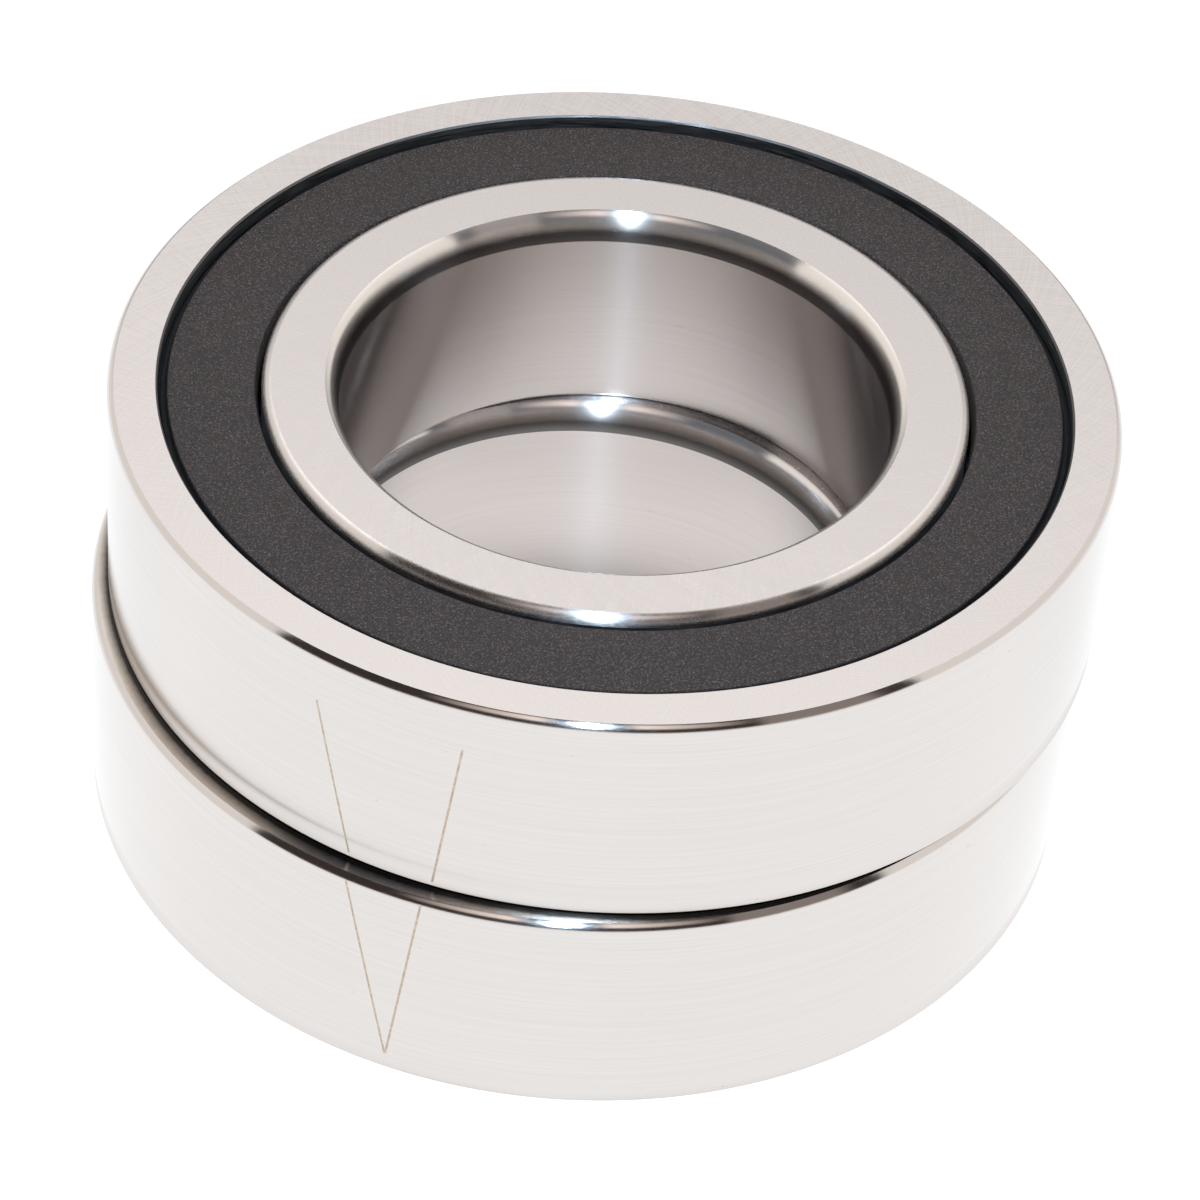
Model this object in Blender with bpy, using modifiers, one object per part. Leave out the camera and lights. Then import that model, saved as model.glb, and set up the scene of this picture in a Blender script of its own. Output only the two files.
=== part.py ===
"""Matched pair of sealed single-row angular contact ball bearings, 30 x 55 x 13 mm each.

The two bearings stand one on the other on a flat surface, both the same way up (a tandem
pair). The upper one sits slightly off the lower one's axis, as a loose pair does. Metres,
+Z up. The origin is on the surface, at the middle of the pair's footprint.

Inside a bearing, heights are counted from its bottom face, on the side of the outer ring's
high shoulder, to its top face, on the side of the counterbore.
"""
import math

import bmesh
import bpy
from mathutils import Matrix

MM = 0.001

# Boundary dimensions, in millimetres.
BORE_R = 15.0
OUTSIDE_R = 27.5
WIDTH = 13.0
JOINT_GAP = 0.05

# Where the bearings' axes stand, from the middle of the footprint.
UPPER_AXIS = (0.38, 0.545)
LOWER_AXIS = (-0.38, -0.545)

# Balls and raceways.
BALL_COUNT = 14
BALL_R = 3.572
PITCH_R = 21.25
CONTACT_ANGLE = math.radians(15.0)
MID_HEIGHT = WIDTH / 2
RACE_CLEARANCE = 0.2
RACE_R = BALL_R + RACE_CLEARANCE

# Outer ring.
OUTER_CORNER = 0.35
OUTER_FACE_INNER_R = 24.9
EDGE_BREAK = 0.1
MOUTH_R = OUTER_FACE_INNER_R - EDGE_BREAK
SEAL_GROOVE_R = 25.25
SEAL_GROOVE_TOP = 1.0
SEAL_GROOVE_FLOOR = 1.85
HIGH_SHOULDER_R = 23.4
LOW_SHOULDER_R = 24.6
COUNTERBORE_R = 24.75

# Inner ring.
INNER_SHOULDER_R = 19.2
INNER_FACE_OUTER_R = 18.7
INNER_CORNER_DEPTH = 0.6
INNER_FACE_INNER_R = 15.75
BORE_CHAMFER_DEPTH = 1.66
BORE_CHAMFER_LEAN = math.radians(42.0)
SMALL_CHAMFER = 0.35

# Seal: a rubber disc with a rim, a snap bead and a lip, round a steel stiffener.
SEAL_FACE_DEPTH = 0.42
SEAL_FACE_OUTER_R = 24.3
SEAL_FACE_INNER_R = 19.6
SEAL_RIM_DEPTH = 0.8
SEAL_RIM_R = 24.65
SEAL_BEAD_R = 25.0
SEAL_BEAD_TOP = 1.2
SEAL_BEAD_FLOOR = 1.65
SEAL_WEB_DEPTH = 1.05
SEAL_POCKET_R = 20.3
SEAL_LIP_R = 19.4
SEAL_LIP_DEPTH = 1.5
STIFFENER_GAP = 0.15
STIFFENER_THICKNESS = 0.3

# Cage, guided on the outer ring's high shoulder.
CAGE_OUTER_R = 23.1
CAGE_INNER_R = 20.2
CAGE_HALF_WIDTH = 4.35
POCKET_R = 3.8
POCKET_SIDES = 12
POCKET_REACH = 6.0

TURN_STEPS = 36
CORNER_STEPS = 3
CHAMFER_STEPS = 2
RACE_STEPS = 5
BALL_SEGMENTS = 10
BALL_RINGS = 6
SHARP_ANGLE = math.radians(35.0)


def clear_scene():
    """Remove every object that the new file starts with."""
    for obj in list(bpy.data.objects):
        bpy.data.objects.remove(obj, do_unlink=True)


def new_collection(name):
    """Make a collection in the scene."""
    collection = bpy.data.collections.new(name)
    bpy.context.scene.collection.children.link(collection)
    return collection


def new_material(name, colour, roughness, metallic):
    """Make a Principled BSDF material."""
    material = bpy.data.materials.new(name)
    material.use_nodes = True
    shader = material.node_tree.nodes["Principled BSDF"]
    shader.inputs["Base Color"].default_value = (*colour, 1.0)
    shader.inputs["Roughness"].default_value = roughness
    shader.inputs["Metallic"].default_value = metallic
    return material


def arc(centre, radii, start, end, steps):
    """Points along an elliptic arc, ends included. Angles run from +radius towards +height."""
    points = []
    for step in range(steps + 1):
        angle = start + (end - start) * step / steps
        radius = centre[0] + radii[0] * math.cos(angle)
        height = centre[1] + radii[1] * math.sin(angle)
        points.append((radius, height))
    return points


def outer_ring_outline():
    """Section of the outer ring: high shoulder at the bottom, counterbore at the top."""
    corner = (OUTER_CORNER, OUTER_CORNER)
    corner_r = OUTSIDE_R - OUTER_CORNER
    top_corner = arc((corner_r, WIDTH - OUTER_CORNER), corner, math.pi / 2, 0.0, CORNER_STEPS)
    bottom_corner = arc((corner_r, OUTER_CORNER), corner, 0.0, -math.pi / 2, CORNER_STEPS)
    race_start = -math.acos((HIGH_SHOULDER_R - PITCH_R) / RACE_R)
    race_end = math.acos((LOW_SHOULDER_R - PITCH_R) / RACE_R)
    raceway = arc((PITCH_R, MID_HEIGHT), (RACE_R, RACE_R), race_start, race_end, RACE_STEPS)
    bottom_seat = [
        (OUTER_FACE_INNER_R, 0.0),
        (MOUTH_R, EDGE_BREAK),
        (MOUTH_R, SEAL_GROOVE_TOP),
        (SEAL_GROOVE_R, SEAL_GROOVE_TOP),
        (SEAL_GROOVE_R, SEAL_GROOVE_FLOOR),
        (HIGH_SHOULDER_R, SEAL_GROOVE_FLOOR),
    ]
    top_seat = [
        (COUNTERBORE_R, WIDTH - SEAL_GROOVE_FLOOR),
        (SEAL_GROOVE_R, WIDTH - SEAL_GROOVE_FLOOR),
        (SEAL_GROOVE_R, WIDTH - SEAL_GROOVE_TOP),
        (MOUTH_R, WIDTH - SEAL_GROOVE_TOP),
        (MOUTH_R, WIDTH - EDGE_BREAK),
        (OUTER_FACE_INNER_R, WIDTH),
    ]
    return top_corner + bottom_corner + bottom_seat + raceway + top_seat


def bulged_chamfer():
    """Section of the long bore chamfer, from the top face down. It is steepest at the bore."""
    across = INNER_FACE_INNER_R - BORE_R
    start = BORE_CHAMFER_LEAN
    end = 2 * math.atan2(BORE_CHAMFER_DEPTH, across) - start
    points = []
    for step in range(CHAMFER_STEPS + 1):
        lean = start + (end - start) * step / CHAMFER_STEPS
        inward = (math.sin(lean) - math.sin(start)) / (math.sin(end) - math.sin(start))
        fall = (math.cos(start) - math.cos(lean)) / (math.cos(start) - math.cos(end))
        points.append((INNER_FACE_INNER_R - across * inward,
                       WIDTH - BORE_CHAMFER_DEPTH * fall))
    return points


def inner_ring_outline():
    """Section of the inner ring: equal shoulders, long bore chamfer at the top only."""
    corner = (INNER_SHOULDER_R - INNER_FACE_OUTER_R, INNER_CORNER_DEPTH)
    top_corner = arc((INNER_FACE_OUTER_R, WIDTH - INNER_CORNER_DEPTH), corner,
                     math.pi / 2, 0.0, CORNER_STEPS)
    bottom_corner = arc((INNER_FACE_OUTER_R, INNER_CORNER_DEPTH), corner,
                       0.0, -math.pi / 2, CORNER_STEPS)
    race_start = math.acos((INNER_SHOULDER_R - PITCH_R) / RACE_R)
    race_end = 2 * math.pi - race_start
    raceway = arc((PITCH_R, MID_HEIGHT), (RACE_R, RACE_R), race_start, race_end, RACE_STEPS + 1)
    bottom_chamfer = [(BORE_R + SMALL_CHAMFER, 0.0), (BORE_R, SMALL_CHAMFER)]
    return top_corner + raceway + bottom_corner + bottom_chamfer + bulged_chamfer()[::-1]


def seal_outline():
    """Section of the top seal, wrapped round the pocket that holds its stiffener."""
    depths = [
        (SEAL_FACE_OUTER_R, SEAL_FACE_DEPTH),
        (SEAL_FACE_OUTER_R, SEAL_RIM_DEPTH),
        (SEAL_RIM_R, SEAL_RIM_DEPTH),
        (SEAL_RIM_R, SEAL_BEAD_TOP),
        (SEAL_BEAD_R, SEAL_BEAD_TOP),
        (SEAL_BEAD_R, SEAL_BEAD_FLOOR),
        (SEAL_FACE_OUTER_R, SEAL_BEAD_FLOOR),
        (SEAL_FACE_OUTER_R, SEAL_WEB_DEPTH),
        (SEAL_POCKET_R, SEAL_WEB_DEPTH),
        (SEAL_POCKET_R, SEAL_LIP_DEPTH),
        (SEAL_LIP_R, SEAL_LIP_DEPTH),
        (SEAL_FACE_INNER_R, SEAL_FACE_DEPTH),
    ]
    return [(radius, WIDTH - depth) for radius, depth in depths]


def stiffener_outline():
    """Section of the steel disc in the top seal."""
    top = WIDTH - SEAL_WEB_DEPTH - STIFFENER_GAP
    outer = SEAL_FACE_OUTER_R - STIFFENER_GAP
    inner = SEAL_POCKET_R + STIFFENER_GAP
    return rectangle(inner, outer, top - STIFFENER_THICKNESS, top)


def cage_outline():
    """Section of the cage before its pockets are cut."""
    return rectangle(CAGE_INNER_R, CAGE_OUTER_R,
                     MID_HEIGHT - CAGE_HALF_WIDTH, MID_HEIGHT + CAGE_HALF_WIDTH)


def rectangle(inner, outer, low, high):
    """Rectangular section, from the top of its outer side."""
    return [(outer, high), (outer, low), (inner, low), (inner, high)]


def turned_over(outline):
    """The same section at the other end of the bearing, still running down its outer side."""
    return [(radius, WIDTH - height) for radius, height in reversed(outline)]


def turned_piece(name, outline, material, axis_empty, collection):
    """Turn a closed section round the bearing's axis, and shade it smooth between its edges."""
    mesh = bpy.data.meshes.new(name)
    points = [(radius * MM, 0.0, height * MM) for radius, height in outline]
    count = len(points)
    edges = [(index, (index + 1) % count) for index in range(count)]
    mesh.from_pydata(points, edges, [])
    mesh.materials.append(material)
    obj = bpy.data.objects.new(name, mesh)
    collection.objects.link(obj)
    obj.parent = axis_empty
    screw = obj.modifiers.new("turn", "SCREW")
    screw.axis = "Z"
    screw.angle = 2 * math.pi
    screw.steps = TURN_STEPS
    screw.render_steps = TURN_STEPS
    screw.use_merge_vertices = True
    screw.merge_threshold = 0.00001
    bpy.context.view_layer.update()
    evaluated = obj.evaluated_get(bpy.context.evaluated_depsgraph_get())
    solid = bpy.data.meshes.new_from_object(evaluated)
    obj.modifiers.clear()
    obj.data = solid
    bpy.data.meshes.remove(mesh)
    solid.shade_smooth()
    solid.set_sharp_from_angle(angle=SHARP_ANGLE)
    return obj


def new_empty(name, parent, location, collection):
    """Make an empty that stands on a joint's axis."""
    empty = bpy.data.objects.new(name, None)
    empty.empty_display_size = 0.01
    collection.objects.link(empty)
    empty.parent = parent
    empty.location = location
    return empty


def ball_angles():
    """Angles of the balls round the bearing's axis."""
    return [2 * math.pi * index / BALL_COUNT for index in range(BALL_COUNT)]


def pocket_cutter(name, axis_empty, collection):
    """One radial cylinder for each ball, in one cutter."""
    mesh = bpy.data.meshes.new(name)
    shape = bmesh.new()
    for angle in ball_angles():
        place = Matrix.Translation((0.0, 0.0, MID_HEIGHT * MM))
        place = place @ Matrix.Rotation(angle, 4, "Z")
        place = place @ Matrix.Translation((PITCH_R * MM, 0.0, 0.0))
        place = place @ Matrix.Rotation(math.pi / 2, 4, "Y")
        bmesh.ops.create_cone(shape, cap_ends=True, segments=POCKET_SIDES,
                              radius1=POCKET_R * MM, radius2=POCKET_R * MM,
                              depth=POCKET_REACH * MM, matrix=place)
    shape.to_mesh(mesh)
    shape.free()
    cutter = bpy.data.objects.new(name, mesh)
    collection.objects.link(cutter)
    cutter.parent = axis_empty
    cutter.hide_render = True
    cutter.display_type = "WIRE"
    return cutter


def cut(obj, cutter):
    """Cut a piece with the EXACT Boolean solver."""
    boolean = obj.modifiers.new("pockets", "BOOLEAN")
    boolean.operation = "DIFFERENCE"
    boolean.solver = "EXACT"
    boolean.object = cutter


def ball_mesh(material):
    """The mesh that all the balls share."""
    mesh = bpy.data.meshes.new("ball")
    shape = bmesh.new()
    bmesh.ops.create_uvsphere(shape, u_segments=BALL_SEGMENTS, v_segments=BALL_RINGS,
                              radius=BALL_R * MM)
    shape.to_mesh(mesh)
    shape.free()
    mesh.materials.append(material)
    mesh.shade_smooth()
    return mesh


def add_balls(prefix, mesh, cage_axis, collection):
    """Set the balls round the cage, each with its pole along its own rolling axis."""
    for number, angle in enumerate(ball_angles(), start=1):
        ball = bpy.data.objects.new(f"{prefix}_ball_{number:02d}", mesh)
        collection.objects.link(ball)
        ball.parent = cage_axis
        ball.location = (PITCH_R * MM * math.cos(angle),
                         PITCH_R * MM * math.sin(angle),
                         MID_HEIGHT * MM)
        ball.rotation_euler = (0.0, CONTACT_ANGLE, angle)


def add_bearing(prefix, location, materials, parts, cutters):
    """Build one bearing, with the centre of its bottom face at the location."""
    axis = new_empty(f"{prefix}_axis", None, location, parts)
    cage_axis = new_empty(f"{prefix}_cage_axis", axis, (0.0, 0.0, 0.0), parts)
    turned = (
        ("outer_ring", outer_ring_outline(), "ring", axis),
        ("inner_ring", inner_ring_outline(), "ring", axis),
        ("top_seal", seal_outline(), "rubber", axis),
        ("bottom_seal", turned_over(seal_outline()), "rubber", axis),
        ("top_seal_stiffener", stiffener_outline(), "sheet", axis),
        ("bottom_seal_stiffener", turned_over(stiffener_outline()), "sheet", axis),
        ("cage", cage_outline(), "cage", cage_axis),
    )
    for name, outline, material, parent in turned:
        turned_piece(f"{prefix}_{name}", outline, materials[material], parent, parts)
    cutter = pocket_cutter(f"{prefix}_pocket_cutter", cage_axis, cutters)
    cut(bpy.data.objects[f"{prefix}_cage"], cutter)
    add_balls(prefix, materials["ball_mesh"], cage_axis, parts)


def main():
    """Build the pair."""
    clear_scene()
    parts = new_collection("angular_contact_bearing")
    cutters = new_collection("cutters")
    ball_steel = new_material("ball_steel", (0.72, 0.71, 0.70), 0.08, 1.0)
    materials = {
        "ring": new_material("ring_steel", (0.74, 0.71, 0.69), 0.28, 1.0),
        "rubber": new_material("seal_rubber", (0.055, 0.05, 0.048), 0.75, 0.0),
        "sheet": new_material("stiffener_steel", (0.55, 0.54, 0.53), 0.4, 1.0),
        "cage": new_material("cage_polymer", (0.35, 0.22, 0.10), 0.55, 0.0),
        "ball_mesh": ball_mesh(ball_steel),
    }
    lower_place = (LOWER_AXIS[0] * MM, LOWER_AXIS[1] * MM, 0.0)
    upper_place = (UPPER_AXIS[0] * MM, UPPER_AXIS[1] * MM, (WIDTH + JOINT_GAP) * MM)
    add_bearing("lower", lower_place, materials, parts, cutters)
    add_bearing("upper", upper_place, materials, parts, cutters)


main()
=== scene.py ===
"""Looks of a matched pair of sealed angular contact ball bearings, standing on a white table."""
import math

import bmesh
import bpy
from mathutils import Matrix, Vector


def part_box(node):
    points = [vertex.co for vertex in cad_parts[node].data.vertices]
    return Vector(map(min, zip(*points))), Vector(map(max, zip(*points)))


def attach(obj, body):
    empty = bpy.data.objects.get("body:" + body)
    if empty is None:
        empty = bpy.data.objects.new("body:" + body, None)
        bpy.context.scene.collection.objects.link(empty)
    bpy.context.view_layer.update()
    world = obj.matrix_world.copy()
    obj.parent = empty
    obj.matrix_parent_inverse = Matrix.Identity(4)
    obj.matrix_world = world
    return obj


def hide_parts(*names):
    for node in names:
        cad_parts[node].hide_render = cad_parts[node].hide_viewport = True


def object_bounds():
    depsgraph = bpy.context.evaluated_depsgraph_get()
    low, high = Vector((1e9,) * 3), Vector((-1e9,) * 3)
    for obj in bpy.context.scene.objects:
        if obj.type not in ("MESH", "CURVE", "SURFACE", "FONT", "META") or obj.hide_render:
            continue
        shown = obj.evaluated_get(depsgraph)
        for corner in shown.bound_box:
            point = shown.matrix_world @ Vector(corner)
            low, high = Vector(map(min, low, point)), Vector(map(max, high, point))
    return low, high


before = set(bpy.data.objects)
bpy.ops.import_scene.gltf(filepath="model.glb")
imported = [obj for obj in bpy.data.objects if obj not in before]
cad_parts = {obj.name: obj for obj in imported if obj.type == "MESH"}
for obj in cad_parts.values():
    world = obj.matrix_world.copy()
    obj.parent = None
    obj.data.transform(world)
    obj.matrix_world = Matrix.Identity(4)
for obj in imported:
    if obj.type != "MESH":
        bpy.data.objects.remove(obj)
CAD_BOX = [list(corner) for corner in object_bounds()]

MM = 0.001

# Section of a bearing, in millimetres. Heights run from the bottom face to the top face. The
# depths, tops and floors of the seals, their grooves and the stiffeners are measured inward from
# the nearer face.
WIDTH = 13.0
MID_HEIGHT = WIDTH / 2
OUTSIDE_R = 27.5
OUTER_CORNER = 0.34
OUTER_CORNER_LEAN = math.radians(20.0)
OUTER_LOW_CORNER = 0.05
OUTER_FACE_INNER_R = 24.9
EDGE_BREAK = 0.1
EDGE_ROLL = 1.2
MOUTH_R = OUTER_FACE_INNER_R - EDGE_BREAK
SEAL_GROOVE_R = 25.25
SEAL_GROOVE_TOP = 1.0
SEAL_GROOVE_FLOOR = 1.85
HIGH_SHOULDER_R = 23.4
LOW_SHOULDER_R = 24.6
COUNTERBORE_R = 24.75
BORE_R = 15.0
BORE_CHAMFER_DEPTH = 1.66
BORE_CHAMFER_STEP = (0.4, 0.34)
BORE_CHAMFER_LEAN = math.radians(21.0)
BORE_CHAMFER_STEEP = math.radians(60.0)
SMALL_CHAMFER = 0.3
SMALL_CHAMFER_LEAN = math.radians(20.0)
INNER_SHOULDER_R = 19.2
INNER_FACE_OUTER_R = 18.7
INNER_CORNER_DEPTH = 0.6
INNER_FACE_INNER_R = 15.8
BALL_R = 3.572
BALL_COUNT = 14
PITCH_R = 21.25
CONTACT_ANGLE = math.radians(15.0)
RACE_CLEARANCE = 0.12
RACE_R = BALL_R + RACE_CLEARANCE
CAGE_OUTER_R = 23.1
CAGE_INNER_R = 20.2
CAGE_HALF_WIDTH = 4.35
CAGE_EDGE = 0.25
POCKET_R = 3.72
POCKET_LENGTH = 6.0
SEAL_FACE_DEPTH = 0.42
SEAL_FACE_OUTER_R = 24.3
SEAL_FACE_INNER_R = 19.55
SEAL_ROUND = 0.12
SEAL_RIM_DEPTH = 0.8
SEAL_RIM_R = 24.68
SEAL_STEP_WIDTH = 0.03
SEAL_STEP_DROP = 0.1
SEAL_BEAD_R = 25.0
SEAL_BEAD_TOP = 1.2
SEAL_BEAD_SLOPE = 0.05
SEAL_BEAD_FLOOR = 1.65
SEAL_WEB_DEPTH = 1.05
SEAL_POCKET_R = 20.3
SEAL_LIP_R = 19.4
SEAL_LIP_DEPTH = 1.5
STIFFENER_TOP = 1.2
STIFFENER_THICKNESS = 0.3
STIFFENER_GAP = 0.15
STIFFENER_EDGE = 0.06

# Match mark: a V across both outer rings, drawn as strips with sloping sides. A strip's edges lie
# at the root, under the ring's surface, and it is flat over a share of its width. A line runs
# between two ends, each an angle in degrees from the front, positive to the right, and a height.
MARK_WIDTH = 0.15
MARK_THICKNESS = 0.012
MARK_ROOT = -0.01
MARK_FLAT = 0.6
MARK_STEPS = 24
MARK_LINES = {
    "upper": [((-30.6, 9.83), (-25.9, 0.30)), ((-13.3, 10.02), (-15.9, 0.30))],
    "lower": [((-24.2, 12.75), (-18.7, 1.04)), ((-15.3, 12.75), (-18.6, 1.04))],
}

RING_SEGMENTS = 360
SEAL_SEGMENTS = 240
HIDDEN_SEGMENTS = 96
CAGE_SEGMENTS = 192
POCKET_SEGMENTS = 48
BALL_SUBDIVISIONS = 4
SHARP_ANGLE = math.radians(30.0)

# Steel colours. The faces of the two rings differ a little.
STEEL = (0.66, 0.61, 0.587)
INNER_FACE_STEEL = (0.632, 0.584, 0.561)
BORE_STEEL = (0.415, 0.368, 0.350)
JOINT_STEEL = (0.68, 0.61, 0.54)
# The seat colour is painted shade: steel in the grooves and recesses, drawn dark.
SEAT_SHADE_STEEL = (0.14, 0.13, 0.125)
RACE_STEEL = (0.75, 0.74, 0.73)
BALL_STEEL = (0.85, 0.85, 0.85)
SHEET_STEEL = (0.5, 0.49, 0.48)

# Colours of the seals, the cages and the match mark: the middle one, and the ones it varies
# between.
RUBBER = (0.044, 0.031, 0.026)
RUBBER_DARK = (0.0190, 0.0130, 0.0107)
RUBBER_LIGHT = (0.0690, 0.0475, 0.0400)
# The rubber's pale speck colour is a painted glint on its grain.
RUBBER_PAINTED_GLINT = (0.115, 0.086, 0.074)
RESIN = (0.30, 0.15, 0.06)
RESIN_LIGHT = (0.34, 0.18, 0.075)
RESIN_DARK = (0.22, 0.10, 0.04)
MARK = (0.55, 0.42, 0.27)
MARK_LIGHT = (0.52, 0.39, 0.27)
MARK_DARK = (0.34, 0.24, 0.16)

# Painted light. The bore chamfer's colour is dark, a painted shade, up to the first height and
# bright, a painted highlight, from the second on.
# Between the next two heights it turns slightly less metallic. In the joint a painted shadow
# is a ring round a point on the lower bearing's top face, along the edge of the upper bearing.
CHAMFER_PAINTED_LIGHT = (WIDTH - 1.0, WIDTH - 0.38)
CHAMFER_PALE = (WIDTH - 0.7, WIDTH - 0.2)
SHADOW_LINE_CENTRE = (0.76, 0.75, WIDTH)
SHADOW_LINE_INSIDE = (OUTSIDE_R - 0.6, OUTSIDE_R - 0.3)
SHADOW_LINE_OUTSIDE = (OUTSIDE_R + 0.1, OUTSIDE_R + 0.8)

# The seal is darker outside these radii, down in the gap to the outer ring.
SEAL_GAP_SHADE = (24.22, 24.32)

# Camera, measured from the centre of the upper bearing's top face.
CAMERA_DISTANCE = 0.27067
CAMERA_ELEVATION = math.radians(38.56)
CAMERA_TILT = math.radians(-2.478)
CAMERA_ROLL = math.radians(4.5)
CAMERA_LENS = 149.82
SENSOR = 36.0

# Floor: half its side, its distance below the pair, and its light. It mirrors and scatters
# nothing, so its own colour is black.
BLACK = (0.0, 0.0, 0.0)
FLOOR_HALF = 3.0
FLOOR_GAP = 0.00002
FLOOR_COLOUR = (0.95, 0.985, 1.0, 1.0)
FLOOR_GLOW = 1.32
FLOOR_GLOW_BEHIND = 1.24
FLOOR_FADE = (-10.0, 8.0)

# The painted pool of light on the floor inside the bore: three ramps from front to back are added,
# and the sum fades towards the ring into painted shade. A ramp is where it starts and ends, in
# millimetres, and its values there. The pool gives way to the floor's own light under the rings.
POOL_FRONT = (-14.0, -4.0, 0.42, 0.0)
POOL_MIDDLE = (-4.0, 2.0, 2.15, 1.52)
POOL_REAR = (2.0, 10.0, 0.0, 0.8)
POOL_FADE = (8.0, 14.5, 1.0, 0.4)
POOL_EDGE = (22.0, 25.0)

# Room, in directions: across is to the right, back is away from the camera, and up is up.
# The sides of the screen and its panels are tangents of the angle, from the front, at which the
# rings mirror them to the camera. Each pair is where an edge starts and where it ends.
VIEW_BACK = 0.782
BEHIND_BACK = (0.2, 0.6)
BEHIND_HEIGHTS = (math.sin(math.radians(25.0)), math.sin(math.radians(50.0)))
BEHIND_LEVELS = (0.3, 2.05)
BEHIND_SIDES = (0.3, 0.6)
BEHIND_TILT = (-0.2, 0.2)
BEHIND_TILT_LEVELS = (1.06, 0.94)
ROOM_FRONT = (1.0, 0.985, 0.94)
ROOM_BEHIND = (1.0, 1.0, 1.0)
SCREEN_LEFT = (-0.78, -0.74)
SCREEN_RIGHT = (0.76, 0.80)
SCREEN_FOOT = (0.08, 0.2)
SCREEN_TOP = (0.5, 0.62)
SCREEN_COLOUR = (0.05, 0.04, 0.038)
GREY_LEFT = (0.33, 0.36)
GREY_RIGHT = (0.62, 0.68)
GREY_COLOUR = (0.32, 0.28, 0.26)
PANEL_INSIDE = (0.06, 0.1)
PANEL_OUTSIDE = (0.1, 0.34)
PANEL_FOOT = (0.62, 0.8)
PANEL_BACK = (-0.1, 0.0)
PANEL_COLOUR = (1.3, 1.14, 1.04)

# Lamp.
LAMP_POWER = 5.7
LAMP_WIDTH = 0.01
LAMP_LENGTH = 0.45
LAMP_DISTANCE = 0.6
LAMP_ELEVATION = math.radians(55.0)
LAMP_COLOUR = (0.57, 0.78, 1.0)


class Bearing:
    """One of the two bearings: its name and the centre of its bottom face."""

    def __init__(self, name):
        self.name = name
        low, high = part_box(f"{name}_outer_ring")
        self.origin = Vector(((low.x + high.x) / 2, (low.y + high.y) / 2, low.z))


# ---------------------------------------------------------------- shapes

def arc(centre, radii, start, end, steps, zone):
    """Points along an elliptic arc, all in one zone."""
    points = []
    for step in range(steps + 1):
        angle = start + (end - start) * step / steps
        points.append((centre[0] + radii[0] * math.cos(angle),
                       centre[1] + radii[1] * math.sin(angle), zone))
    return points


def bulged(face_end, wall_end, start, steps, zone):
    """Points of a round cut from a face to a wall. Its surface first leans by start."""
    across, down = wall_end[0] - face_end[0], wall_end[1] - face_end[1]
    end = 2 * math.atan2(abs(down), abs(across)) - start
    points = []
    for step in range(steps + 1):
        lean = start + (end - start) * step / steps
        out = (math.sin(lean) - math.sin(start)) / (math.sin(end) - math.sin(start))
        fall = (math.cos(start) - math.cos(lean)) / (math.cos(start) - math.cos(end))
        points.append((face_end[0] + across * out, face_end[1] + down * fall, zone))
    return points


def last_zone(points, zone):
    """The same points, with another zone from the last one on."""
    radius, height, _ = points[-1]
    return points[:-1] + [(radius, height, zone)]


def turned(name, bearing, outline, materials, segments):
    """Turn a closed section round a bearing's axis. Zones pick the material of each band."""
    zones = list(materials)
    shape = bmesh.new()
    rings = []
    for step in range(segments):
        angle = 2 * math.pi * step / segments
        cos, sin = math.cos(angle), math.sin(angle)
        rings.append([shape.verts.new((r * MM * cos, r * MM * sin, h * MM))
                      for r, h, _ in outline])
    count = len(outline)
    for step in range(segments):
        here, following = rings[step], rings[(step + 1) % segments]
        for index in range(count):
            after = (index + 1) % count
            face = shape.faces.new((here[index], here[after], following[after], following[index]))
            face.material_index = zones.index(outline[index][2])
            face.smooth = True
    mark_sharp_edges(shape)
    return finish_mesh(name, shape, bearing.origin, materials.values())


def mark_sharp_edges(shape):
    """Edges between zones and edges that turn more than the limit are sharp."""
    shape.normal_update()
    for edge in shape.edges:
        if len(edge.link_faces) == 2:
            first, second = edge.link_faces
            other_zone = first.material_index != second.material_index
            edge.smooth = not (other_zone or first.normal.angle(second.normal) > SHARP_ANGLE)


def finish_mesh(name, shape, origin, materials):
    """Make an object from a bmesh, at its place in the frame."""
    mesh = bpy.data.meshes.new(name)
    shape.to_mesh(mesh)
    shape.free()
    for material in materials:
        mesh.materials.append(material)
    piece = bpy.data.objects.new(name, mesh)
    bpy.context.scene.collection.objects.link(piece)
    piece.location = origin
    return piece


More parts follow.
